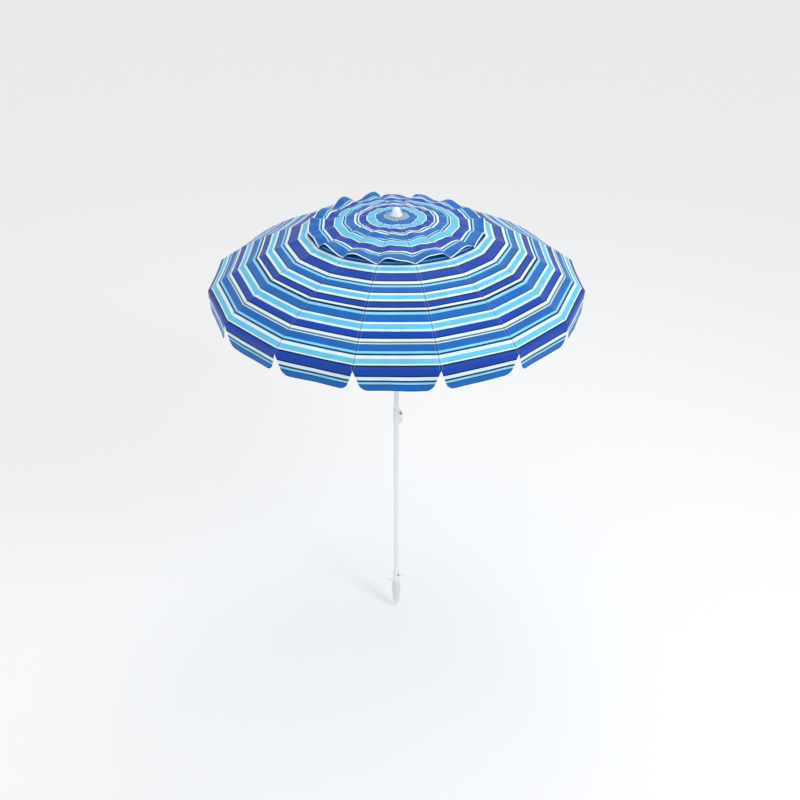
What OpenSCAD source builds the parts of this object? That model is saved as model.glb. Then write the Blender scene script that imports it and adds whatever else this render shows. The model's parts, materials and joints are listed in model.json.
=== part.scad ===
// Beach umbrella with sixteen arched ribs, a vented two-layer canopy, a tilting pole
// and a screw-in sand anchor. Millimetres, +Z up, origin on the pole's axis at the sand line.
// It is drawn open and upright.

/* [Canopy] */
// Radius of the open canopy at the rib tips
rim_r = 920; // [800:10:1100]
// Height of the rib tips above the sand
rim_h = 2045; // [1900:5:2400]
// Radius of the arc that each rib follows
rib_bend = 1560; // [1400:10:2000]
// Slope of a rib where it leaves the hub, in degrees below level
rib_start = 1.5; // [0:0.5:5]
// Height of the hanging valance
valance_h = 100; // [60:5:140]
// Half width of the V notch between two valance flaps, at the hem
notch_half = 20; // [6:1:25]
// Radius of the small top canopy that covers the vent
vent_r = 436; // [380:2:500]
// Radius of the vent hole in the main canopy
vent_hole_r = 300; // [220:5:340]
// Thickness of the cloth solids
cloth_t = 1; // [0.6:0.1:2]
// Clearance between the ribs' centre line and the cloth
cloth_lift = 4.4; // [4.2:0.1:7]

/* [Ribs and stretchers] */
// Diameter of a fibreglass rib rod
rib_d = 4; // [3:0.5:4.5]
// Distance along the rib from the hub hinge to the stretcher joint
joint_s = 460; // [400:5:520]
// Drop from the rib's centre line to the stretcher joint
joint_drop = 9; // [8:0.5:14]
// Diameter of a stretcher tube
stretcher_d = 5; // [4:0.5:6]
// Thickness of the flattened rib and stretcher ends
blade_t = 3; // [2:0.2:3.4]
// Radius of the wire rings that the ribs and stretchers hinge on
ring_r = 26; // [25:0.5:32]
// Diameter of those wires
ring_d = 2; // [1.6:0.2:2.4]

/* [Pole] */
// Outer diameter of both pole tubes
pole_d = 28; // [25:0.5:32]
// Wall of the pole tubes
pole_wall = 1.4; // [1:0.1:2.5]
// Radial clearance of the runner on the pole
runner_gap = 0.4; // [0.2:0.1:1]
// Length of the runner's sleeve below its ring
runner_len = 62; // [40:1:90]
// Height of the finial
finial_h = 42; // [36:1:60]
// Largest radius of the finial
finial_r = 28; // [22:1:34]

/* [Tilt joint] */
// Height of the tilt pin above the sand
tilt_h = 1224; // [1100:2:1300]
// Length of the socket below the tilt pin
socket_len = 69; // [64:1:100]
// Length of the head above the tilt pin
head_len = 25; // [18:1:50]
// Wall of the tilt sleeves
sleeve_wall = 3.5; // [2.5:0.5:5]
// Diameter of the tilt pin
tilt_pin_d = 6; // [4:0.5:8]

/* [Sand anchor] */
// Depth of the anchor's point below the sand line
anchor_depth = 223; // [150:1:320]
// Diameter of the anchor's core
core_d = 12; // [10:1:16]
// Radius of the top turn of the screw
flight_top_r = 26; // [20:1:36]
// Radius of the lowest turn of the screw
flight_low_r = 18; // [12:1:24]
// Height of one turn of the screw
flight_pitch = 24; // [18:1:34]
// Height of the anchor's collar above the sand
collar_h = 74; // [66:1:100]
// Wall of the collar around the pole
collar_wall = 4; // [3:0.5:6]
// Length of the T-bar
bar_len = 92; // [80:2:160]
// Diameter of the T-bar
bar_d = 10; // [8:0.5:12]
// Height of the T-bar above the sand
bar_h = 27; // [20:1:30]

/* [Hidden] */
$fn = 48;
seam = 0.05;                 // how far neighbouring gores run into each other
slack = 0.3;                 // gap between pieces that move past each other
glue = 0.05;                 // glue line round a rib rod
rib_n = 16;
rib_step = 360 / rib_n;
half_gore = rib_step / 2;
first_rib = rib_step / 2;    // a gore's middle, not a rib, faces each axis

pole_r = pole_d / 2;
rib_r = rib_d / 2;

// Rib arc: slope a runs from rib_start at the hub hinge to tip_slope at the tip.
tip_slope = asin(sin(rib_start) + (rim_r - ring_r) / rib_bend);
hub_z = rim_h + rib_bend * (cos(rib_start) - cos(tip_slope));
function slope_at(s) = rib_start + s / rib_bend * 180 / PI;
function rib_x(a, out = 0) = ring_r + rib_bend * (sin(a) - sin(rib_start)) + out * sin(a);
function rib_z(a, out = 0) = hub_z - rib_bend * (cos(rib_start) - cos(a)) + out * cos(a);
rib_len = (tip_slope - rib_start) * PI / 180 * rib_bend;

// Linkage: the rib joint is as far from the hub hinge as the stretcher is long, so the
// runner's ring always lies straight below the hub's ring.
joint_slope = slope_at(joint_s);
joint_x = rib_x(joint_slope, -joint_drop);
joint_z = rib_z(joint_slope, -joint_drop);
stretcher_len = norm([joint_x - ring_r, hub_z - joint_z]);
stretcher_rise = asin((hub_z - joint_z) / stretcher_len);
runner_z = 2 * joint_z - hub_z;

// Hub and runner, measured from their hinge rings.
blade_slot = blade_t + 2 * slack;
eye_r = 4;
eye_hole_r = ring_d / 2 + 0.25;
notch_in = ring_r - eye_r - 0.6;   // how deep the slots go, as a radius
head_r = ring_r + 6;
hub_down = 7.5;
hub_lid = eye_r + slack;           // underside of the lid over the hub's slots
hub_up = hub_lid + 2.6;
ferrule_s = 12;                    // where a rib's ferrule starts, from the hinge
ferrule_len = 20;
ferrule_r = rib_r + 1.5;
tube_s = 14;                       // where a stretcher's round tube starts, from the hinge
bracket_half = 6;                  // half length of the bracket along the rib
bracket_w = 8;
rivet_r = 1.5;
tip_cap_r = 3.8;
tip_cap_len = 16;
rib_inset = 0.11;                  // slope between the rod's end and its cap's end

// Top of the pole.
cloth_top = hub_z + hub_up + slack;
vent_lift = cloth_lift + cloth_t + 0.5;
washer_t = 2.4;
washer_z = cloth_top + cloth_t + slack;
finial_z = washer_z + washer_t;
stud_r = 4;
plug_len = 22;

// Tilt joint.
sleeve_r = pole_r + sleeve_wall;
tongue_w = 9.4;
ear_gap = tongue_w + 2 * slack;
lug_w = 21;
knuckle_r = tilt_pin_d / 2 + 4.5;
tilt_offset = sleeve_r + knuckle_r + slack;   // from the pole's axis to the tilt pin
lug_x = tilt_offset + knuckle_r - 1;
pin_head_r = tilt_pin_d / 2 + 1.5;
lever_t = 4.5;
lever_w = 10.5;
lever_top = tilt_h - knuckle_r - 1.2;
lever_low = tilt_h - 50;
lever_pin_z = tilt_h - 30;
lever_pin_x = lug_x - 3;
lever_pin_d = 3;
pocket_x = tilt_offset - 2;
spring_z = tilt_h - 44;
spring_r = 2.6;
spring_wire_r = 0.45;

// Anchor.
collar_r = pole_r + collar_wall;
collar_low = -8;
socket_floor = bar_h + bar_d / 2 + 4;
bar_az = 27;                       // compass angle of the T-bar
bolt_az = -47;                     // compass angle of the collar's bolt
bolt_z = 58;
bolt_r = 3;
bolt_head_t = 2.4;
core_top = bar_h - bar_d / 2 - 4;
point_len = 30;
flight_t = 2.4;
flight_high = collar_low - 4;
flight_low = -anchor_depth + point_len - 4;
flight_turns = (flight_high - flight_low) / flight_pitch;
flight_steps = 22;                 // sections in one turn

// Catch on the pole under the runner.
catch_top = runner_z - eye_r - slack - runner_len - slack;
catch_h = 30;
catch_w = 5;
catch_out = 5;

module tube(outer, inner, low, high) {
    translate([0, 0, low]) difference() {
        cylinder(r = outer, h = high - low);
        translate([0, 0, -1]) cylinder(r = inner, h = high - low + 2);
    }
}

// Turns its children to the compass angle of rib k.
module at_rib(k) {
    rotate([0, 0, first_rib + (k - 1) * rib_step]) children();
}

// Sweeps a flat profile along the rib's arc, from slope a to slope b.
module along_rib(a, b) {
    translate([ring_r - rib_bend * sin(rib_start), 0, hub_z - rib_bend * cos(rib_start)])
        rotate([90, 0, 0]) rotate([0, 0, 90 - b]) rotate_extrude(angle = b - a, $fn = 96)
            translate([rib_bend, 0]) children();
}

// Slots for the flat ends of ribs or stretchers, from z = low to z = high round a ring.
module blade_slots(low, high) {
    for (k = [1:rib_n]) at_rib(k)
        translate([notch_in, -blade_slot / 2, low]) cube([head_r, blade_slot, high - low]);
}

module wire_ring(grow = 0) {
    rotate_extrude($fn = 96) translate([ring_r, 0]) circle(r = ring_d / 2 + grow, $fn = 24);
}

// Flat end with a hinge hole at the origin, running out along +X.
module blade(length, hole_r, r = eye_r) {
    difference() {
        union() {
            rotate([90, 0, 0]) cylinder(r = r, h = blade_t, center = true);
            translate([0, -blade_t / 2, -r * 0.7]) cube([length, blade_t, r * 1.4]);
        }
        rotate([90, 0, 0]) cylinder(r = hole_r, h = blade_t + 2, center = true, $fn = 24);
    }
}

// ---- Ribs and stretchers ----

module rib(k) {
    start = slope_at(ferrule_s);
    grip = slope_at(ferrule_s + 3);
    ferrule_end = slope_at(ferrule_s + ferrule_len);
    cap_start = tip_slope - tip_cap_len / rib_bend * 180 / PI;
    at_rib(k) {
        color("silver") translate([ring_r, 0, hub_z]) rotate([0, rib_start, 0])
            blade(ferrule_s + 1, eye_hole_r);
        color("silver") difference() {
            along_rib(start, ferrule_end) circle(r = ferrule_r);
            along_rib(grip, ferrule_end + rib_inset) circle(r = rib_r + glue);
        }
        color("whitesmoke") along_rib(grip + rib_inset / 10, tip_slope - rib_inset)
            circle(r = rib_r);
        color("silver") rib_bracket();
        color("white") tip_cap(cap_start);
    }
}

module rib_bracket() {
    difference() {
        translate([joint_x, 0, joint_z]) rotate([0, joint_slope, 0]) {
            difference() {
                translate([-bracket_half, -bracket_w / 2, -eye_r])
                    cube([2 * bracket_half, bracket_w, joint_drop + rib_r + 0.8 + eye_r]);
                translate([-bracket_half - 1, -blade_slot / 2, -eye_r - 1])
                    cube([2 * bracket_half + 2, blade_slot, 2 * eye_r + 1.6]);
            }
            rotate([90, 0, 0]) cylinder(r = rivet_r, h = bracket_w + 2, center = true, $fn = 24);
        }
        along_rib(joint_slope - 1, joint_slope + 1) circle(r = rib_r + glue);
    }
}

module tip_cap(cap_start) {
    difference() {
        along_rib(cap_start, tip_slope) circle(r = tip_cap_r);
        along_rib(cap_start - rib_inset, tip_slope - rib_inset * 0.9) circle(r = rib_r + glue);
    }
}

module stretcher(k) {
    color("whitesmoke") at_rib(k) translate([ring_r, 0, runner_z])
        rotate([0, -stretcher_rise, 0]) {
            blade(tube_s + 1, eye_hole_r);
            translate([tube_s, 0, 0]) rotate([0, 90, 0])
                cylinder(d = stretcher_d, h = stretcher_len - 2 * tube_s);
            translate([stretcher_len, 0, 0]) rotate([0, 0, 180])
                blade(tube_s + 1, rivet_r + 0.1, eye_r - 0.5);
        }
}

// ---- Hub, runner and top of the pole ----

module top_hub() {
    color("white") translate([0, 0, hub_z]) difference() {
        tube(head_r, pole_r, -hub_down, hub_up);
        blade_slots(-hub_down - 1, hub_lid);
        wire_ring(0.05);
    }
}

module hub_ring() {
    color("silver") translate([0, 0, hub_z]) wire_ring();
}

module runner() {
    low = -eye_r - slack;
    color("white") translate([0, 0, runner_z]) difference() {
        union() {
            tube(head_r, pole_r + runner_gap, low - 3, hub_down);
            tube(pole_r + 6, pole_r + runner_gap, low - runner_len, low - 3);
            tube(pole_r + 9, pole_r + runner_gap, low - runner_len, low - runner_len + 8);
        }
        blade_slots(low, hub_down + 1);
        wire_ring(0.05);
    }
}

module runner_ring() {
    color("silver") translate([0, 0, runner_z]) wire_ring();
}

// Bent spring strip that springs out of a slot in the pole and holds the runner up.
module runner_catch() {
    inside = pole_r - pole_wall - 0.4;
    nose = pole_r + catch_out;
    color("silver") translate([0, catch_w / 2, catch_top]) rotate([90, 0, 0])
        linear_extrude(catch_w) polygon([
            [nose, 0], [nose, -1.5], [inside - 1.2, -catch_h + 4], [inside - 1.2, -catch_h - 10],
            [-inside, -catch_h - 10], [-inside, -catch_h + 20], [-inside + 1.2, -catch_h + 20],
            [-inside + 1.2, -catch_h - 8.8], [inside - 2.4, -catch_h - 8.8],
            [inside - 2.4, -catch_h + 4], [nose - 3, -1.2], [inside - 3, -1.2], [inside - 3, 0]]);
}

module upper_pole() {
    color("white") difference() {
        tube(pole_r, pole_r - pole_wall, tilt_h + slack, hub_z + hub_up);
        translate([0, -catch_w / 2 - slack, catch_top - catch_h])
            cube([2 * pole_r, catch_w + 2 * slack, catch_h + slack]);
    }
}

module pole_plug() {
    inside = pole_r - pole_wall;
    top = hub_z + hub_up;
    color("white") difference() {
        union() {
            translate([0, 0, top - plug_len]) cylinder(r = inside, h = plug_len);
            translate([0, 0, top]) cylinder(r = pole_r - 2, h = washer_z - top);
        }
        translate([0, 0, top - plug_len - 1]) cylinder(r = stud_r, h = plug_len + 20);
    }
}

module finial_stud() {
    color("silver") translate([0, 0, hub_z + hub_up - plug_len])
        cylinder(r = stud_r, h = finial_z + finial_h * 0.6 - (hub_z + hub_up - plug_len));
}

module finial_washer() {
    color("white") tube(finial_r + 2, stud_r, washer_z, finial_z);
}

// Bullet-shaped cap: a straight skirt, a round nose, and a hollow round its threaded boss.
module finial() {
    wall = 2.6;
    nose_round = finial_r - 6;
    skirt_h = finial_h - nose_round;
    boss_r = stud_r + 4;
    color("white") translate([0, 0, finial_z]) difference() {
        union() {
            cylinder(r = finial_r, h = skirt_h + 0.5);
            translate([0, 0, skirt_h]) rotate_extrude($fn = 96) {
                translate([finial_r - 0.3 - nose_round, 0]) intersection() {
                    circle(r = nose_round, $fn = 96);
                    square(nose_round);
                }
                square([finial_r - nose_round, nose_round]);
            }
        }
        tube(finial_r - wall, boss_r, -1, skirt_h);
        translate([0, 0, -1]) cylinder(r = stud_r, h = finial_h * 0.6 + 1);
    }
}

// ---- Cloth ----

// Radial outline of a cloth layer between slopes a and b, lifted off the ribs.
function layer(a, b, lift, steps) =
    [for (i = [0:steps]) let (s = a + (b - a) * i / steps) [rib_x(s, lift), rib_z(s, lift)]];
function flipped(points) = [for (i = [len(points) - 1:-1:0]) points[i]];
function narrowed(points) = [for (p = points) [p[0] * cos(half_gore), p[1]]];

// Sixteen straight-chord gores from one radial outline, meeting over the ribs.
module gores(outline, reach) {
    half_reach = reach * tan(half_gore) + seam;
    for (k = [1:rib_n]) rotate([0, 0, k * rib_step]) intersection() {
        rotate([90, 0, 0]) linear_extrude(2 * reach, center = true) polygon(narrowed(outline));
        translate([0, 0, rim_h - valance_h - 50]) linear_extrude(2 * rim_r)
            polygon([[0, -seam], [reach, -half_reach], [reach, half_reach], [0, seam]]);
    }
}

module canopy() {
    hole_slope = slope_at(vent_hole_r - ring_r);
    under = layer(hole_slope, tip_slope, cloth_lift, 16);
    over = layer(hole_slope, tip_slope, cloth_lift + cloth_t, 16);
    edge_x = rib_x(tip_slope, cloth_lift);
    hem_z = rim_h - valance_h;
    color("royalblue") difference() {
        gores(concat(over, [[edge_x + cloth_t, hem_z], [edge_x, hem_z]], flipped(under)), rim_r + 40);
        for (k = [1:rib_n]) at_rib(k) translate([rim_r - 80, 0, rim_h - 6])
            rotate([90, 0, 90]) linear_extrude(120)
                polygon([[0, 0], [-notch_half, -valance_h], [notch_half, -valance_h]]);
    }
}

module vent_canopy() {
    start = slope_at(90);
    finish = slope_at(vent_r - ring_r);
    under = layer(start, finish, vent_lift, 9);
    over = layer(start, finish, vent_lift + cloth_t, 9);
    flat_r = head_r + 4;
    hole = pole_r + 1;
    color("deepskyblue") difference() {
        gores(concat([[0, cloth_top + cloth_t], [flat_r, cloth_top + cloth_t]], over,
                     flipped(under), [[flat_r, cloth_top], [0, cloth_top]]), vent_r + 40);
        translate([0, 0, cloth_top - 5]) cylinder(r = hole, h = 20);
    }
}

// ---- Tilt joint ----

module tilt_eye(r, width) {
    translate([tilt_offset, 0, tilt_h]) rotate([90, 0, 0]) cylinder(r = r, h = width, center = true);
}

module tilt_head() {
    color("white") difference() {
        union() {
            translate([0, 0, tilt_h + slack]) cylinder(r = sleeve_r, h = head_len - slack);
            translate([pole_r, -tongue_w / 2, tilt_h + slack])
                cube([tilt_offset - pole_r, tongue_w, knuckle_r - slack]);
            tilt_eye(knuckle_r, tongue_w);
        }
        translate([0, 0, tilt_h - knuckle_r - 1]) cylinder(r = pole_r, h = head_len + knuckle_r + 2);
        tilt_eye(tilt_pin_d / 2 + 0.08, tongue_w + 2);
    }
}

module tilt_socket() {
    low = tilt_h - socket_len;
    lug_low = low + 8;
    lug_top = tilt_h - 0.6 * knuckle_r;
    color("white") difference() {
        union() {
            translate([0, 0, low]) cylinder(r = sleeve_r, h = socket_len - slack);
            translate([0, -lug_w / 2, lug_low]) cube([lug_x, lug_w, lug_top - lug_low]);
            translate([0, -lug_w / 2, tilt_h - knuckle_r - 1])
                cube([tilt_offset, lug_w, knuckle_r + 1 - slack]);
            tilt_eye(knuckle_r, lug_w);
        }
        translate([tilt_offset - knuckle_r - 2 * slack, -ear_gap / 2, tilt_h - knuckle_r - 0.8])
            cube([lug_x, ear_gap, 50]);
        // Bore for the lower pole.
        translate([0, 0, low - 1]) cylinder(r = pole_r, h = socket_len + 60);
        // Pocket for the lever and its spring, open on the outer face.
        translate([pocket_x, -lever_w / 2 - slack, lever_low - 1])
            cube([lug_x, lever_w + 2 * slack, tilt_h - lever_low]);
        translate([lever_pin_x, 0, lever_pin_z]) rotate([90, 0, 0])
            cylinder(d = lever_pin_d, h = lug_w + 2, center = true, $fn = 24);
        tilt_eye(tilt_pin_d / 2, lug_w + 2);
    }
}

module tilt_pin() {
    color("dimgray") {
        tilt_eye(tilt_pin_d / 2, lug_w);
        for (side = [-1, 1]) translate([0, side * (lug_w / 2 + 1), 0]) tilt_eye(pin_head_r, 2);
    }
}

// Rocking button: pressing its lower pad swings the nose away from the knuckle.
module tilt_lever() {
    face_x = lug_x + 2;
    color("white") difference() {
        union() {
            translate([face_x - lever_t, -lever_w / 2, lever_low])
                cube([lever_t, lever_w, lever_top - lever_low]);
            translate([pocket_x + 1, -lever_w / 2, lever_top - 5])
                cube([face_x - pocket_x - 1, lever_w, 5]);
            translate([lever_pin_x, 0, lever_pin_z]) rotate([90, 0, 0])
                cylinder(r = lever_pin_d / 2 + 2, h = lever_w, center = true);
        }
        translate([lever_pin_x, 0, lever_pin_z]) rotate([90, 0, 0])
            cylinder(r = lever_pin_d / 2 + 0.08, h = lever_w + 2, center = true, $fn = 24);
    }
}

module lever_pin() {
    color("silver") translate([lever_pin_x, 0, lever_pin_z]) rotate([90, 0, 0])
        cylinder(d = lever_pin_d, h = lug_w, center = true, $fn = 24);
}

// Triangles of a closed tube swept through count + 1 rings of the given number of sides.
function swept_faces(count, sides) = concat(
    [for (i = [0:count - 1]) for (j = [0:sides - 1])
        let (next = (j + 1) % sides, low = i * sides, high = low + sides)
        each [[low + j, high + next, high + j], [low + j, low + next, high + next]]],
    [[for (j = [sides - 1:-1:0]) j]], [[for (j = [0:sides - 1]) count * sides + j]]);

// Coil from z = 0 to z = high, as one swept tube.
module coil(radius, wire, high, turns, steps, sides) {
    count = ceil(turns * steps);
    points = [for (i = [0:count]) for (j = [0:sides - 1])
        let (turn = 360 * i * turns / count, around = 360 * (j + 0.5) / sides,
             r = radius + wire * cos(around))
        [r * cos(turn), r * sin(turn), wire + (high - 2 * wire) * i / count + wire * sin(around)]];
    polyhedron(points, swept_faces(count, sides), convexity = 8);
}

module lever_spring() {
    free = lug_x + 2 - lever_t - pocket_x - 0.1;
    color("silver") translate([pocket_x, 0, spring_z]) rotate([0, 90, 0])
        coil(spring_r, spring_wire_r, free, 3.5, 16, 6);
}

// ---- Lower pole and sand anchor ----

module bolt_hole() {
    translate([0, 0, bolt_z]) rotate([90, 0, bolt_az + 90])
        cylinder(r = bolt_r + glue, h = 3 * collar_r, center = true, $fn = 24);
}

module lower_pole() {
    color("white") difference() {
        tube(pole_r, pole_r - pole_wall, socket_floor, tilt_h - slack);
        bolt_hole();
    }
}

module anchor_collar() {
    color("white") difference() {
        union() {
            translate([0, 0, 0]) cylinder(r = collar_r, h = collar_h);
            translate([0, 0, collar_low]) cylinder(r1 = core_d / 2 + 4, r2 = collar_r, h = -collar_low);
        }
        translate([0, 0, socket_floor]) cylinder(r = pole_r, h = collar_h);
        translate([0, 0, collar_low - 1]) cylinder(r = core_d / 2, h = core_top - collar_low + 1);
        translate([0, 0, bar_h]) rotate([90, 0, bar_az + 90])
            cylinder(r = bar_d / 2 + slack / 2, h = 3 * collar_r, center = true);
        bolt_hole();
    }
}

// Through bolt with a domed head outside, which also passes through the pole.
module collar_bolt() {
    color("dimgray") translate([0, 0, bolt_z]) rotate([90, 0, bolt_az + 90]) {
        cylinder(r = bolt_r, h = 2 * collar_r + 1, center = true, $fn = 24);
        for (side = [-1, 1]) translate([0, 0, side * (collar_r + bolt_head_t / 2)])
            cylinder(r = bolt_r + 2.2, h = bolt_head_t, center = true, $fn = 24);
    }
}

module t_bar() {
    color("white") translate([0, 0, bar_h]) rotate([90, 0, bar_az + 90])
        cylinder(r = bar_d / 2, h = bar_len, center = true);
}

module t_bar_caps() {
    color("white") translate([0, 0, bar_h]) rotate([90, 0, bar_az + 90])
        for (side = [-1, 1]) translate([0, 0, side * (bar_len / 2 - 4)]) difference() {
            cylinder(r = bar_d / 2 + 1.6, h = 10, center = true);
            translate([0, 0, -side]) cylinder(r = bar_d / 2, h = 10, center = true);
        }
}

// Screw blade: a flat strip wound round the core, narrower towards the point.
module flight() {
    inner = core_d / 2 / cos(180 / flight_steps) + glue;
    count = ceil(flight_turns * flight_steps);
    start_r = inner + 0.5;
    function full_r(i) = flight_low_r + (flight_top_r - flight_low_r) * min(1, 1.6 * i / count);
    points = [for (i = [0:count])
        let (turn = 360 * i / flight_steps, z = flight_low + flight_pitch * i / flight_steps,
             out = start_r + (full_r(i) - start_r) * min(1, i / flight_steps))
        for (p = [[inner, 0], [out, 0.5], [out, flight_t - 0.5], [inner, flight_t]])
            [p[0] * cos(turn), p[0] * sin(turn), z + p[1]]];
    polyhedron(points, swept_faces(count, 4), convexity = 12);
}

module ground_auger() {
    color("white") {
        translate([0, 0, -anchor_depth + point_len])
            cylinder(r = core_d / 2, h = core_top + anchor_depth - point_len);
        translate([0, 0, -anchor_depth]) cylinder(r1 = 0.8, r2 = core_d / 2, h = point_len);
        flight();
    }
}

ground_auger();
anchor_collar();
collar_bolt();
t_bar();
t_bar_caps();
lower_pole();
tilt_socket();
tilt_pin();
tilt_lever();
lever_pin();
lever_spring();
tilt_head();
upper_pole();
runner_catch();
runner();
runner_ring();
top_hub();
hub_ring();
pole_plug();
finial_stud();
finial_washer();
finial();
canopy();
vent_canopy();
for (k = [1:rib_n]) rib(k);
for (k = [1:rib_n]) stretcher(k);
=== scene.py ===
"""Beach umbrella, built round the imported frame. Metres, +Z up, origin on the pole's axis at the sand line."""
import json
import math
import random

import bmesh
import bpy
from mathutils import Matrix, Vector, noise


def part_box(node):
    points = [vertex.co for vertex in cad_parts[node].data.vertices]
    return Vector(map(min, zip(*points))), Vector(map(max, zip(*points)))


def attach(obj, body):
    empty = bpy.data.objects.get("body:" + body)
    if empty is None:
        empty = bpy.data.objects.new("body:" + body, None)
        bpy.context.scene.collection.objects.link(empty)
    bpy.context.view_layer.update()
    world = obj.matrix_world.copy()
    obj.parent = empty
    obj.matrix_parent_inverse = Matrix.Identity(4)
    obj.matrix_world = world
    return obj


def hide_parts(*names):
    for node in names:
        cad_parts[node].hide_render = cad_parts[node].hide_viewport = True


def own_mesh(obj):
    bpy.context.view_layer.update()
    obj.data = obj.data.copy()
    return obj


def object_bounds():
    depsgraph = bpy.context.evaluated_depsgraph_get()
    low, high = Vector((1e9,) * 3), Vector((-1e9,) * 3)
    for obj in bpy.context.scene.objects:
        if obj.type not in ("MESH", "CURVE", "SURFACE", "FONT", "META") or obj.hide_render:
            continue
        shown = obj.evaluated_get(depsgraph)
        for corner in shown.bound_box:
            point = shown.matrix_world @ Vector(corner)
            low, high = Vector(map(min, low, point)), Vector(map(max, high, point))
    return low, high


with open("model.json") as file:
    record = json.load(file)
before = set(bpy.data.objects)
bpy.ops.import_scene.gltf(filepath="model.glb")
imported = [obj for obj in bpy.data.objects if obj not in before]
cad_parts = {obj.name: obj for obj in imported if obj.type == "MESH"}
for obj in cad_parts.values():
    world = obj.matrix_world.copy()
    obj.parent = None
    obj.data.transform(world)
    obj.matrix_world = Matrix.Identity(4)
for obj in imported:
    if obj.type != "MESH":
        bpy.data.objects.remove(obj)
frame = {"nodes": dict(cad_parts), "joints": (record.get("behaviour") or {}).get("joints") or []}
cad_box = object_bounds()
nodes = frame["nodes"]
joints = {joint["name"]: joint for joint in frame["joints"]}
MM = 0.001

# Ribs, read from the frame: hinge ring, height of the hub, and where the hem and the rim are.
RIBS = 16
STEP = 2 * math.pi / RIBS
HALF = STEP / 2
HINGE = Vector(joints["canopy_fold"]["pos_m"])
RING_R = HINGE.xy.length
HUB_Z = HINGE.z
HEM_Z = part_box("canopy")[0].z
VALANCE = 100 * MM
RIB_BEND = 1560 * MM
RIB_START = math.radians(1.5)
TIP_SLOPE = math.acos(math.cos(RIB_START) - (HUB_Z - HEM_Z - VALANCE) / RIB_BEND)
RIB_ARC = (TIP_SLOPE - RIB_START) * RIB_BEND
RIM_R = RING_R + RIB_BEND * (math.sin(TIP_SLOPE) - math.sin(RIB_START))
RIB_ROD_R = 2 * MM

# Fittings on a rib, by their place along its arc.
FERRULE_END_S = 33 * MM
BRACKET_S = 460 * MM
BRACKET_HALF = 9 * MM
TIP_CAP_LEN = 17 * MM

# Cloth: heights of its middle above the ribs' centre line, and its cut.
CLOTH_T = 0.7 * MM
CANOPY_LIFT = 4.9 * MM
VENT_LIFT = 6.4 * MM
VENT_EDGE_S = 410 * MM
NOTCH_HALF = 36 * MM
NOTCH_TOP = 6 * MM
HEM_CORNER_R = 24 * MM
GORE_SAG = 4 * MM
FLAP_SWING = 2.2 * MM
CROWN_R = 46 * MM
CROWN_RISE = 1.6 * MM
CROWN_PATCH_LIFT = 1.0 * MM

# Slack in the vent canopy: the free edge bulges from VENT_SLACK_S outwards.
VENT_SLACK_S = 290 * MM
VENT_BULGES = (19 * MM, 31 * MM)
VENT_SLACK = 9 * MM
VENT_PUCKER = 4 * MM

# Sewing: half widths are measured from the middle of the seam.
SEAM_HALF = 3.2 * MM
SEAM_CORE = 1.0 * MM
STITCH_LINE = 6.0 * MM
STITCH_HALF = 0.45 * MM
STITCH_PITCH = 5 * MM
NO_SEAM = 20 * MM
THREAD_DRAWN = 2 * MM

# Printed stripes from the crown outwards: colour and width in millimetres.
CANOPY_START_MM = 274
CANOPY_STRIPES = [
    ("mid", 118), ("light", 6), ("mid", 10), ("navy", 5), ("white", 14),
    ("turquoise", 23), ("white", 13), ("navy", 6), ("royal", 39), ("navy", 7), ("white", 16), ("teal", 8),
    ("light", 11), ("mid", 28), ("teal", 6), ("white", 12),
    ("turquoise", 22), ("white", 12), ("navy", 7), ("royal", 22), ("navy", 6), ("white", 11), ("navy", 11),
    ("light", 13), ("mid", 34), ("teal", 4), ("white", 10),
    ("turquoise", 25), ("white", 11), ("royal", 30), ("navy", 6), ("white", 13), ("grey", 8), ("white", 4),
    ("mid", 33), ("light", 10), ("teal", 9), ("white", 15),
    ("turquoise", 23), ("white", 6), ("navy", 7), ("royal", 40), ("navy", 7), ("white", 16), ("teal", 9),
    ("light", 10), ("teal", 4), ("mid", 25), ("navy", 3)]
VENT_START_MM = 2
VENT_STRIPES = [
    ("light", 2), ("navy", 5), ("white", 5), ("navy", 5), ("white", 5), ("navy", 4), ("light", 7),
    ("mid", 41), ("white", 4), ("turquoise", 37), ("white", 5), ("navy", 5), ("royal", 30), ("white", 7),
    ("navy", 7), ("white", 11), ("mid", 39), ("light", 8), ("navy", 7), ("white", 5), ("turquoise", 36),
    ("white", 6), ("navy", 5), ("royal", 41), ("white", 11), ("navy", 7), ("light", 9), ("mid", 45),
    ("navy", 3), ("white", 6)]
PRINT = {
    "white": "CDE8F5", "turquoise": "63BADC", "light": "7FCBF4", "mid": "0C60B0",
    "royal": "023CA4", "navy": "01123A", "teal": "073456", "grey": "65717B"}


# ---- Small helpers ----

def srgb(code):
    """Linear colour of an sRGB hex value."""
    parts = [int(code[i:i + 2], 16) / 255 for i in (0, 2, 4)]
    return tuple(p / 12.92 if p <= 0.04045 else ((p + 0.055) / 1.055) ** 2.4 for p in parts) + (1.0,)


def smooth(t):
    t = min(1.0, max(0.0, t))
    return t * t * (3 - 2 * t)


def rib_azimuth(k):
    """Compass angle of rib k, from 1 to 16."""
    return HALF + (k - 1) * STEP


def rib_point(s, lift):
    """Radius and height of a point s along the rib's arc, lifted square to it."""
    slope = RIB_START + s / RIB_BEND
    radius = RING_R + RIB_BEND * (math.sin(slope) - math.sin(RIB_START)) + lift * math.sin(slope)
    height = HUB_Z - RIB_BEND * (math.cos(RIB_START) - math.cos(slope)) + lift * math.cos(slope)
    return radius, height, slope


# ---- Materials ----

def plug(tree, made, inputs):
    """Sets a shader node's sockets, each to a value or to another node's output."""
    for socket, value in inputs.items():
        if isinstance(value, bpy.types.NodeSocket):
            tree.links.new(value, made.inputs[socket])
        else:
            made.inputs[socket].default_value = value


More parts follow.
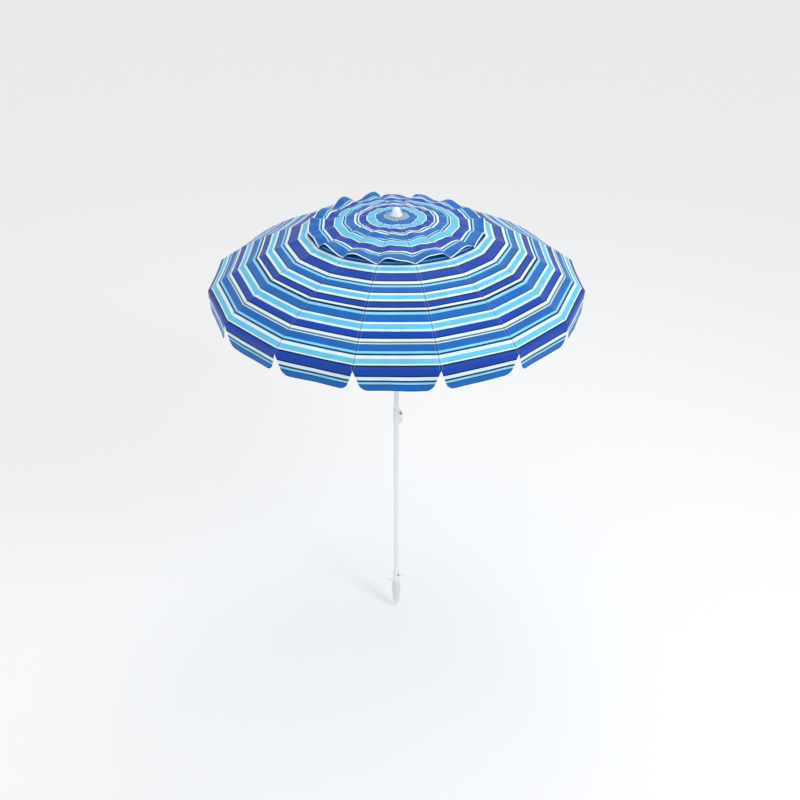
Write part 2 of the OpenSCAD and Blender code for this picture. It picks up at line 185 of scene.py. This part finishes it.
def node(tree, kind, inputs=None, **settings):
    """Adds a shader node with its settings and links, and returns it."""
    made = tree.nodes.new("ShaderNode" + kind)
    for key, value in settings.items():
        setattr(made, key, value)
    plug(tree, made, inputs or {})
    return made


def new_material(name):
    material = bpy.data.materials.new(name)
    material.use_nodes = True
    tree = material.node_tree
    tree.nodes.clear()
    shader = node(tree, "BsdfPrincipled")
    output = node(tree, "OutputMaterial", {"Surface": shader.outputs[0]})
    output.is_active_output = True
    return material, tree, shader


def woven_polyester(name, inner):
    """Printed plain-weave polyester: tight, with a soft gloss. The print shows paler on the inner side."""
    material, tree, shader = new_material(name)
    uv = node(tree, "UVMap", uv_map="cut").outputs[0]
    across, along, _ = node(tree, "SeparateXYZ", {0: uv}).outputs
    place = node(tree, "TexCoord").outputs["Object"]

    dye = node(tree, "Attribute", attribute_name="print").outputs["Color"]
    mottle = node(tree, "TexNoise", {"Vector": place, "Scale": 14.0, "Detail": 5.0, "Roughness": 0.6})
    # Noise lightens and darkens the print in patches: partly the cloth's own uneven tone, partly painted
    # highlights and painted shade standing in for the gloss across the gores.
    tone_and_painted_light = node(tree, "MapRange", {0: mottle.outputs[0], 1: 0.3, 2: 0.7, 3: 0.9, 4: 1.06}).outputs[0]
    colour = node(tree, "Mix", {0: 1.0, 6: dye, 7: tone_and_painted_light}, data_type="RGBA", blend_type="MULTIPLY").outputs[2]
    if inner:
        colour = node(tree, "Mix", {0: 0.3, 6: colour, 7: srgb("B9C9D6")}, data_type="RGBA").outputs[2]

    # A sewn seam along each rib: a dark fold line and a row of stitches each side of it.
    from_seam = node(tree, "Math", {0: across}, operation="ABSOLUTE").outputs[0]
    seam = node(tree, "MapRange", {0: from_seam, 1: SEAM_CORE, 2: SEAM_HALF, 3: 0.5, 4: 0.0}).outputs[0]
    colour = node(tree, "Mix", {0: seam, 6: colour, 7: srgb("08182F")}, data_type="RGBA").outputs[2]
    on_line = node(tree, "Math", {0: from_seam, 1: STITCH_LINE, 2: STITCH_HALF},
                   operation="COMPARE").outputs[0]
    stitch_turns = node(tree, "Math", {0: along, 1: 2 * math.pi / STITCH_PITCH},
                        operation="MULTIPLY").outputs[0]
    stitch_wave = node(tree, "Math", {0: stitch_turns}, operation="SINE").outputs[0]
    dash = node(tree, "Math", {0: stitch_wave, 1: -0.3}, operation="GREATER_THAN").outputs[0]
    stitch = node(tree, "Math", {0: on_line, 1: dash}, operation="MULTIPLY").outputs[0]
    stitch_share = node(tree, "Math", {0: stitch, 1: 0.55}, operation="MULTIPLY").outputs[0]
    colour = node(tree, "Mix", {0: stitch_share, 6: colour, 7: srgb("DCE6EE")}, data_type="RGBA").outputs[2]

    # Threads are 0.25 mm apart on the real cloth; they are drawn 2 mm apart so that the weave shows.
    turns = 2 * math.pi / THREAD_DRAWN
    warp_turns = node(tree, "Math", {0: across, 1: turns}, operation="MULTIPLY").outputs[0]
    weft_turns = node(tree, "Math", {0: along, 1: turns}, operation="MULTIPLY").outputs[0]
    warp = node(tree, "Math", {0: warp_turns}, operation="SINE").outputs[0]
    weft = node(tree, "Math", {0: weft_turns}, operation="SINE").outputs[0]
    weave = node(tree, "Math", {0: warp, 1: weft}, operation="MULTIPLY").outputs[0]
    fold_map = node(tree, "Mapping", {0: place, 3: (1.0, 1.0, 0.35)}).outputs[0]
    folds = node(tree, "TexNoise", {"Vector": fold_map, "Scale": 11.0, "Detail": 3.0, "Distortion": 0.6})
    crumple = node(tree, "Bump", {"Strength": 0.35, "Distance": 9 * MM, "Height": folds.outputs[0]})
    bump = node(tree, "Bump", {"Strength": 0.12, "Distance": 0.3 * MM, "Height": weave,
                               "Normal": crumple.outputs[0]})
    gloss = node(tree, "MapRange", {0: mottle.outputs[0], 1: 0.3, 2: 0.7, 3: 0.36, 4: 0.5}).outputs[0]
    plug(tree, shader, {
        "Base Color": colour, "Roughness": gloss, "IOR": 1.5, "Specular IOR Level": 0.22,
        "Sheen Weight": 0.03, "Sheen Roughness": 0.4, "Normal": bump.outputs[0]})
    return material


def powder_coated_steel():
    """White powder coat on steel tube: fine orange peel, faint grime."""
    material, tree, shader = new_material("powder_coated_steel")
    place = node(tree, "TexCoord").outputs["Object"]
    peel = node(tree, "TexNoise", {"Vector": place, "Scale": 420.0, "Detail": 2.0})
    grime = node(tree, "TexNoise", {"Vector": place, "Scale": 9.0, "Detail": 6.0, "Roughness": 0.65})
    stain = node(tree, "MapRange", {0: grime.outputs[0], 1: 0.5, 2: 0.8, 3: 0.0, 4: 0.35}).outputs[0]
    colour = node(tree, "Mix", {0: stain, 6: srgb("E4E7EA"), 7: srgb("C6CACE")}, data_type="RGBA").outputs[2]
    rough = node(tree, "MapRange", {0: grime.outputs[0], 1: 0.3, 2: 0.7, 3: 0.26, 4: 0.4}).outputs[0]
    bump = node(tree, "Bump", {"Strength": 0.15, "Distance": 0.2 * MM, "Height": peel.outputs[0]})
    plug(tree, shader, {
        "Base Color": colour, "Roughness": rough, "IOR": 1.5,
        "Coat Weight": 0.2, "Coat Roughness": 0.2, "Normal": bump.outputs[0]})
    return material


def moulded_nylon():
    """White injection-moulded nylon: satin, slightly translucent, with a fine spark texture."""
    material, tree, shader = new_material("moulded_nylon")
    place = node(tree, "TexCoord").outputs["Object"]
    spark = node(tree, "TexNoise", {"Vector": place, "Scale": 900.0, "Detail": 3.0})
    flow = node(tree, "TexNoise", {"Vector": place, "Scale": 26.0, "Detail": 4.0})
    tone = node(tree, "MapRange", {0: flow.outputs[0], 1: 0.35, 2: 0.7, 3: 0.0, 4: 0.5}).outputs[0]
    colour = node(tree, "Mix", {0: tone, 6: srgb("E9EBEB"), 7: srgb("D3D6D6")}, data_type="RGBA").outputs[2]
    rough = node(tree, "MapRange", {0: flow.outputs[0], 1: 0.3, 2: 0.7, 3: 0.38, 4: 0.52}).outputs[0]
    bump = node(tree, "Bump", {"Strength": 0.2, "Distance": 0.15 * MM, "Height": spark.outputs[0]})
    plug(tree, shader, {
        "Base Color": colour, "Roughness": rough, "IOR": 1.53,
        "Subsurface Weight": 0.04, "Subsurface Scale": 3 * MM, "Normal": bump.outputs[0]})
    return material


def plated_steel(name, light, dark, roughness):
    """Bright zinc plate or black oxide on steel: cloudy tone and fine draw lines."""
    material, tree, shader = new_material(name)
    place = node(tree, "TexCoord").outputs["Object"]
    cloud = node(tree, "TexNoise", {"Vector": place, "Scale": 160.0, "Detail": 5.0, "Roughness": 0.7})
    drawn = node(tree, "Mapping", {0: place, 3: (1.0, 1.0, 0.04)}).outputs[0]
    lines = node(tree, "TexNoise", {"Vector": drawn, "Scale": 1500.0, "Detail": 1.0})
    tone = node(tree, "MapRange", {0: cloud.outputs[0], 1: 0.35, 2: 0.7}).outputs[0]
    colour = node(tree, "Mix", {0: tone, 6: srgb(light), 7: srgb(dark)}, data_type="RGBA").outputs[2]
    rough = node(tree, "MapRange", {0: cloud.outputs[0], 1: 0.3, 2: 0.75, 3: roughness, 4: roughness + 0.18})
    bump = node(tree, "Bump", {"Strength": 0.2, "Distance": 0.1 * MM, "Height": lines.outputs[0]})
    plug(tree, shader, {
        "Base Color": colour, "Metallic": 1.0, "Roughness": rough.outputs[0], "Normal": bump.outputs[0]})
    return material


def pultruded_glass_fibre():
    """White glass-fibre rod: glossy resin with faint lengthwise fibres."""
    material, tree, shader = new_material("pultruded_glass_fibre")
    place = node(tree, "TexCoord").outputs["Object"]
    fibres = node(tree, "TexNoise", {"Vector": place, "Scale": 260.0, "Detail": 4.0, "Roughness": 0.7})
    tone = node(tree, "MapRange", {0: fibres.outputs[0], 1: 0.35, 2: 0.7}).outputs[0]
    colour = node(tree, "Mix", {0: tone, 6: srgb("F3F4F2"), 7: srgb("DDE1E0")}, data_type="RGBA").outputs[2]
    bump = node(tree, "Bump", {"Strength": 0.25, "Distance": 0.1 * MM, "Height": fibres.outputs[0]})
    plug(tree, shader, {
        "Base Color": colour, "Roughness": 0.3, "IOR": 1.52,
        "Coat Weight": 0.4, "Coat Roughness": 0.12, "Normal": bump.outputs[0]})
    return material


CLOTH_OUT = woven_polyester("printed_polyester", False)
CLOTH_IN = woven_polyester("printed_polyester_inside", True)
COATED = powder_coated_steel()
NYLON = moulded_nylon()
ZINC = plated_steel("zinc_plated_steel", "C9CCD0", "A9ADB2", 0.28)
BLACKED = plated_steel("black_oxide_steel", "33363A", "1C1E21", 0.4)
RESIN = pultruded_glass_fibre()


# ---- Cloth ----

def stripe_rows(start_mm, stripes, longest):
    """Places along the cut, in metres, and the print between each two of them."""
    places, prints = [start_mm * MM], []
    for colour, width in stripes:
        count = max(1, math.ceil(width * MM / longest))
        for i in range(count):
            places.append(places[-1] + width * MM / count)
            prints.append(colour)
    return places, prints


def chord_point(k, side, radius, across, height):
    """A point on the straight line between rib k and the next one on that side."""
    rib = rib_azimuth(k)
    middle = rib + side * HALF
    run = Vector((-math.sin(middle), math.cos(middle), 0)) * side * across
    return Vector((radius * math.cos(rib), radius * math.sin(rib), height)) + run


def gore_normal(k, side, slope):
    middle = rib_azimuth(k) + side * HALF
    return Vector((math.sin(slope) * math.cos(middle), math.sin(slope) * math.sin(middle), math.cos(slope)))


def gore_place(k, side, u):
    """Number of the gore and how far across it a point lies, from its first rib to its second."""
    return (k, u / 2) if side > 0 else ((k - 2) % RIBS + 1, 1 - u / 2)


def ripple(point, reach):
    """Slight unevenness of stretched cloth, the same for both pieces that meet at a point, none on a rib."""
    broad = 1.3 * MM * noise.noise(point * 9.0)
    fine = 0.4 * MM * noise.noise(point * 31.0 + Vector((7.0, 3.0, 1.0)))
    return (broad + fine) * min(1.0, reach * 4)


def crown_rise(s):
    """The middle of the vent canopy lies on the hub's lid, a little above the line of the ribs."""
    return CROWN_RISE * (1 - smooth((s - 10 * MM) / (80 * MM)))


def notch_at(drop):
    """Half width of the V between two flaps, with the flaps' corners rounded at the hem."""
    width = NOTCH_HALF * max(0.0, drop - NOTCH_TOP) / VALANCE
    below = drop - (VALANCE - HEM_CORNER_R)
    if below > 0:
        width += HEM_CORNER_R - math.sqrt(max(0.0, HEM_CORNER_R ** 2 - below ** 2))
    return width


def canopy_point(k, side, u, s):
    drop = min(max(0.0, s - RIB_ARC), VALANCE)
    radius, height, slope = rib_point(min(s, RIB_ARC), CANOPY_LIFT)
    notch = notch_at(drop)
    across = notch + (radius * math.sin(HALF) - notch) * u
    point = chord_point(k, side, radius, across, height - drop)
    share = across / (radius * math.sin(HALF))
    normal = gore_normal(k, side, slope)
    sag = GORE_SAG * (1 - (1 - share) ** 2) * radius / RIM_R
    point += normal * (ripple(point, share) - sag)
    gore, v = gore_place(k, side, share)
    swing = math.sin(2 * math.pi * v + gore * 2.4) + 0.5 * math.sin(4 * math.pi * v + gore)
    return point + gore_normal(k, side, math.pi / 2) * swing * FLAP_SWING * (drop / VALANCE)


def vent_shapes():
    """Height, skew, side and waviness of the bulge in each gore's free edge; it leans away from the front."""
    dice = random.Random(11)
    shapes = {}
    for gore in range(1, RIBS + 1):
        middle = rib_azimuth(gore) + HALF
        skew = dice.uniform(0.5, 0.72)
        tall = dice.uniform(*VENT_BULGES)
        shapes[gore] = (tall, skew, math.cos(middle) > 0, dice.uniform(-0.2, 0.25))
    return shapes


VENT_SHAPES = vent_shapes()


def vent_point(k, side, u, s):
    radius, height, slope = rib_point(s, VENT_LIFT)
    point = chord_point(k, side, radius, radius * math.sin(HALF) * u, height + crown_rise(s))
    gore, v = gore_place(k, side, u)
    tall, skew, late, wavy = VENT_SHAPES[gore]
    skewed = (1 - v if late else v) ** skew
    hump = math.sin(math.pi * skewed) ** 1.2
    wave = math.sin(2 * math.pi * v) * math.sin(math.pi * v)
    edge = smooth((s - VENT_SLACK_S) / (VENT_EDGE_S - VENT_SLACK_S)) ** 1.4
    inner = 0.22 * smooth((s - 60 * MM) / (200 * MM))
    lift = (hump + wavy * wave) * tall * (edge + inner)
    slack = VENT_SLACK * noise.noise(point * 19.0) * min(1.0, 0.25 + u * 2) + ripple(point, u)
    lift += slack * smooth(s / (90 * MM))
    pucker = VENT_PUCKER * noise.noise(point * 46.0) * (1 - smooth((s - 60 * MM) / (90 * MM)))
    lift += pucker * smooth(s / (40 * MM))
    return point + gore_normal(k, side, slope * 0.5) * lift


def cut_across(side, reach, s):
    """Distance from the seam on the cut; the valance has no seam, so it is put past the seam's reach."""
    on_valance = s > RIB_ARC + NOTCH_TOP
    return side * (reach + (NO_SEAM if on_valance else 0))


def cloth_mesh(name, k, rows, prints, columns, place):
    """Both halves of one rib's piece as one mesh, printed in stripes, with its cut as UV in metres."""
    mesh = bpy.data.meshes.new(name)
    bm = bmesh.new()
    cut = bm.loops.layers.uv.new("cut")
    dye = bm.loops.layers.float_color.new("print")
    for side in (1, -1):
        grid = [[place(k, side, u, s) for u in columns] for s in rows]
        verts = [[bm.verts.new(point) for point in line] for line in grid]
        for i in range(len(rows) - 1):
            colour = srgb(PRINT[prints[i]])
            for j in range(len(columns) - 1):
                corners = [(i, j), (i + 1, j), (i + 1, j + 1), (i, j + 1)]
                if side < 0:
                    corners.reverse()
                face = bm.faces.new([verts[a][b] for a, b in corners])
                face.smooth = True
                for loop, (a, b) in zip(face.loops, corners):
                    loop[dye] = colour
                    reach = (grid[a][b] - grid[a][0]).length
                    loop[cut].uv = (cut_across(side, reach, rows[a]), rows[a])
    bmesh.ops.remove_doubles(bm, verts=bm.verts, dist=0.01 * MM)
    bm.to_mesh(mesh)
    bm.free()
    made = bpy.data.objects.new(name, mesh)
    bpy.context.scene.collection.objects.link(made)
    mesh.materials.append(CLOTH_OUT)
    mesh.materials.append(CLOTH_IN)
    return made


def apply_modifier(piece, kind, **settings):
    bpy.context.view_layer.objects.active = piece
    modifier = piece.modifiers.new("shape", kind)
    for key, value in settings.items():
        setattr(modifier, key, value)
    bpy.ops.object.modifier_apply(modifier=modifier.name)


def finish_cloth(piece, k, stands_for):
    """Gives the cloth its thickness, and lets it follow its rib and gather as the canopy closes."""
    apply_modifier(piece, "SOLIDIFY", thickness=CLOTH_T, offset=0, use_even_offset=False, material_offset=1)
    piece.data.set_sharp_from_angle(angle=math.radians(50))
    body = f"rib_{k}"
    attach(piece, body)
    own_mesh(piece)
    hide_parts(stands_for)


# Shares of the way from a rib to the middle of a gore, closer together beside the rib and at the middle.
COLUMNS = [0, 0.012, 0.03, 0.06, 0.11, 0.17, 0.24, 0.32, 0.4, 0.48, 0.56, 0.64, 0.72, 0.8, 0.88, 0.95, 1]


def make_canopy():
    """Sixteen pieces, each centred on its rib, with a row of points where the cloth turns down at the rim."""
    rows, prints = stripe_rows(CANOPY_START_MM, CANOPY_STRIPES, 13 * MM)
    after_rim = sum(row < RIB_ARC for row in rows)
    rows.insert(after_rim, RIB_ARC)
    prints.insert(after_rim, prints[after_rim - 1])
    for k in range(1, RIBS + 1):
        piece = cloth_mesh(f"canopy_panel_{k}", k, rows, prints, COLUMNS, canopy_point)
        finish_cloth(piece, k, "canopy")


def make_vent_canopy():
    """Sixteen pieces like the canopy's, finer, because their free edge bulges."""
    rows, prints = stripe_rows(VENT_START_MM, VENT_STRIPES, 9 * MM)
    for k in range(1, RIBS + 1):
        piece = cloth_mesh(f"vent_panel_{k}", k, rows, prints, COLUMNS, vent_point)
        finish_cloth(piece, k, "vent_canopy")


# ---- Hard pieces ----

def select_only(piece):
    bpy.ops.object.select_all(action="DESELECT")
    piece.select_set(True)
    bpy.context.view_layer.objects.active = piece


def turned(name, rings, segments=64):
    """A turned piece: a disc is extruded up ring by ring, each resized to its radius, and closed."""
    bpy.ops.object.select_all(action="DESELECT")
    radius, height = rings[0]
    bpy.ops.mesh.primitive_circle_add(
        vertices=segments, radius=radius, fill_type="NGON", location=(0, 0, height))
    piece = bpy.context.object
    piece.name = name
    bpy.ops.object.transform_apply(location=True)
    bpy.ops.object.mode_set(mode="EDIT")
    bpy.ops.mesh.select_all(action="SELECT")
    for wide, high in rings[1:]:
        bpy.ops.mesh.extrude_region_move(TRANSFORM_OT_translate={"value": (0, 0, high - height)})
        share = wide / radius
        bpy.ops.transform.resize(value=(share, share, 1), center_override=(0, 0, high))
        radius, height = wide, high
    bpy.ops.mesh.select_all(action="SELECT")
    bpy.ops.mesh.normals_make_consistent(inside=False)
    bpy.ops.object.mode_set(mode="OBJECT")
    bpy.ops.object.shade_smooth_by_angle(angle=math.radians(35))
    return piece


def make_finial():
    """Bullet-shaped cap with a rolled foot."""
    low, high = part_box("finial")
    foot_r = high.x
    tall = high.z - low.z
    foot_h = 6 * MM
    rings = [(foot_r - 1.2 * MM, low.z), (foot_r, low.z + 1 * MM), (foot_r, low.z + 4 * MM),
             (foot_r - 1.4 * MM, low.z + 5.4 * MM)]
    steps = 16
    for i in range(steps + 1):
        rise = i / steps
        cone = 1 - 0.42 * rise
        nose = math.sqrt(max(0.0, 1 - (0.998 * rise) ** 5))
        rings.append(((foot_r - 2 * MM) * cone * nose, low.z + foot_h + (tall - foot_h) * rise))
    piece = turned("finial_cap", rings)
    piece.data.materials.append(NYLON)
    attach(piece, "mast")
    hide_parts("finial")


def make_crown():
    """Doubled circle of cloth under the finial's washer, sewn over the panels' inner ends."""
    rows, prints = stripe_rows(VENT_START_MM, VENT_STRIPES[:5], 4 * MM)
    rows = [min(row, CROWN_R - RING_R) for row in rows]

    def crown_point(k, side, u, s):
        radius, height, _ = rib_point(s, VENT_LIFT)
        lift = crown_rise(s) + CROWN_PATCH_LIFT
        return chord_point(k, side, radius, radius * math.sin(HALF) * u, height + lift)

    columns = COLUMNS[::4]
    parts = [cloth_mesh(f"crown_{k}", k, rows, prints, columns, crown_point) for k in range(1, RIBS + 1)]
    bpy.ops.object.select_all(action="DESELECT")
    for part in parts:
        part.select_set(True)
    bpy.context.view_layer.objects.active = parts[0]
    bpy.ops.object.join()
    piece = parts[0]
    piece.name = "crown_patch"
    select_only(piece)
    bpy.ops.object.mode_set(mode="EDIT")
    bpy.ops.mesh.select_all(action="SELECT")
    bpy.ops.mesh.remove_doubles(threshold=0.02 * MM)
    bpy.ops.object.mode_set(mode="OBJECT")
    apply_modifier(piece, "SOLIDIFY", thickness=CLOTH_T, offset=0, material_offset=1)
    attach(piece, "mast")
    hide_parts("vent_canopy")


def make_lever_spring():
    """Coil spring behind the tilt lever, which shortens against its seat as the lever is pressed."""
    low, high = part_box("lever_spring")
    wire_r = 0.45 * MM
    coil_r = (high.z - low.z) / 2 - wire_r
    middle_z = (low.z + high.z) / 2
    length = high.x - low.x
    turns, steps = 4.5, 108
    helix = bpy.data.curves.new("lever_coil", "CURVE")
    helix.dimensions = "3D"
    helix.bevel_depth = wire_r
    helix.bevel_resolution = 3
    helix.use_fill_caps = True
    wire = helix.splines.new("POLY")
    wire.points.add(steps)
    for i, point in enumerate(wire.points):
        angle = 2 * math.pi * turns * i / steps
        x = low.x + wire_r + (length - 2 * wire_r) * i / steps
        point.co = (x, coil_r * math.cos(angle), middle_z + coil_r * math.sin(angle), 1)
    piece = bpy.data.objects.new("lever_coil", helix)
    bpy.context.scene.collection.objects.link(piece)
    select_only(piece)
    bpy.ops.object.convert(target="MESH")
    piece = bpy.context.object
    piece.data.materials.clear()
    piece.data.materials.append(ZINC)
    bpy.ops.object.mode_set(mode="EDIT")
    bpy.ops.mesh.select_all(action="SELECT")
    bpy.ops.mesh.remove_doubles(threshold=0.01 * MM)
    bpy.ops.mesh.normals_make_consistent(inside=False)
    bpy.ops.object.mode_set(mode="OBJECT")
    bpy.ops.object.shade_smooth_by_angle(angle=math.radians(50))
    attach(piece, "pole_base")
    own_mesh(piece)
    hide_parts("lever_spring")


# ---- CAD pieces ----

FINISHES = {
    COATED: ["lower_pole", "upper_pole", "t_bar", "ground_auger"],
    NYLON: ["anchor_collar", "t_bar_caps", "tilt_socket", "tilt_head", "tilt_lever", "runner", "top_hub",
            "pole_plug", "finial_washer"],
    ZINC: ["lever_pin", "runner_catch", "runner_ring", "hub_ring", "finial_stud"],
    BLACKED: ["collar_bolt", "tilt_pin"]}


def paint_cad_nodes():
    for material, names in FINISHES.items():
        for name in names:
            nodes[name].data.materials.clear()
            nodes[name].data.materials.append(material)
    for k in range(1, RIBS + 1):
        stretcher = nodes[f"stretcher_{k}"].data
        stretcher.materials.clear()
        stretcher.materials.append(COATED)
        paint_rib(nodes[f"rib_{k}"].data, k)


def paint_rib(mesh, k):
    """Resin on the rod, zinc on the ferrule and the bracket, nylon on the end cap."""
    mesh.materials.clear()
    for material in (RESIN, ZINC, NYLON):
        mesh.materials.append(material)
    azimuth = rib_azimuth(k)
    outward = Vector((math.cos(azimuth), math.sin(azimuth), 0))
    for polygon in mesh.polygons:
        reach = polygon.center.dot(outward) - RING_R
        slope = math.asin(min(1.0, max(-1.0, math.sin(RIB_START) + reach / RIB_BEND)))
        s = (slope - RIB_START) * RIB_BEND
        radius, height, _ = rib_point(s, 0)
        off_line = (polygon.center - Vector((radius * outward.x, radius * outward.y, height))).length
        if s < FERRULE_END_S or (abs(s - BRACKET_S) < BRACKET_HALF and off_line > RIB_ROD_R * 1.15):
            polygon.material_index = 1
        elif s > RIB_ARC - TIP_CAP_LEN and off_line > RIB_ROD_R * 1.2:
            polygon.material_index = 2


# ---- Stage ----

def make_stage():
    scene = bpy.context.scene
    scene.view_settings.view_transform = "Standard"
    bpy.ops.object.select_all(action="DESELECT")
    bpy.ops.mesh.primitive_plane_add(size=60, location=(0, 0, cad_box[0].z))
    floor = bpy.context.object
    floor.name = "floor"
    material, tree, shader = new_material("pale_floor")
    plug(tree, shader, {"Base Color": srgb("F4F5F6"), "Roughness": 0.8})
    floor.data.materials.append(material)

    world = bpy.data.worlds.new("studio")
    world.use_nodes = True
    background = world.node_tree.nodes["Background"]
    background.inputs["Color"].default_value = (1, 1, 1, 1)
    background.inputs["Strength"].default_value = 0.9
    scene.world = world

    for name, place, power, size in (
            ("key_light", (2.9, -2.7, 4.6), 74, 1.4), ("fill_light", (-3.4, -2.6, 3.4), 8, 2.5),
            ("top_light", (0.4, 1.8, 5.4), 24, 1.4)):
        light = bpy.data.lights.new(name, "AREA")
        light.energy = power
        light.size = size
        lamp = bpy.data.objects.new(name, light)
        lamp.location = place
        lamp.rotation_mode = "QUATERNION"
        lamp.rotation_quaternion = (Vector((0, 0, 1.9)) - lamp.location).to_track_quat("-Z", "Y")
        scene.collection.objects.link(lamp)


def make_camera():
    """At the viewing angle and distance: 26.8 degrees above level, 4.31 m from the canopy's rim plane."""
    elevation = math.radians(26.8)
    target = Vector((-7.4 * MM, 0, 1.9079))
    distance = 4.3148
    camera = bpy.data.objects.new("camera", bpy.data.cameras.new("camera"))
    camera.location = target + distance * Vector((0, -math.cos(elevation), math.sin(elevation)))
    camera.rotation_euler = (math.pi / 2 - elevation, 0, 0)
    camera.data.sensor_width = 36
    camera.data.lens = 38.34
    camera.data.shift_x = 0.00625
    camera.data.shift_y = -0.125
    bpy.context.scene.collection.objects.link(camera)
    bpy.context.scene.camera = camera


make_stage()
make_camera()
make_canopy()
make_vent_canopy()
make_crown()
make_finial()
make_lever_spring()
paint_cad_nodes()
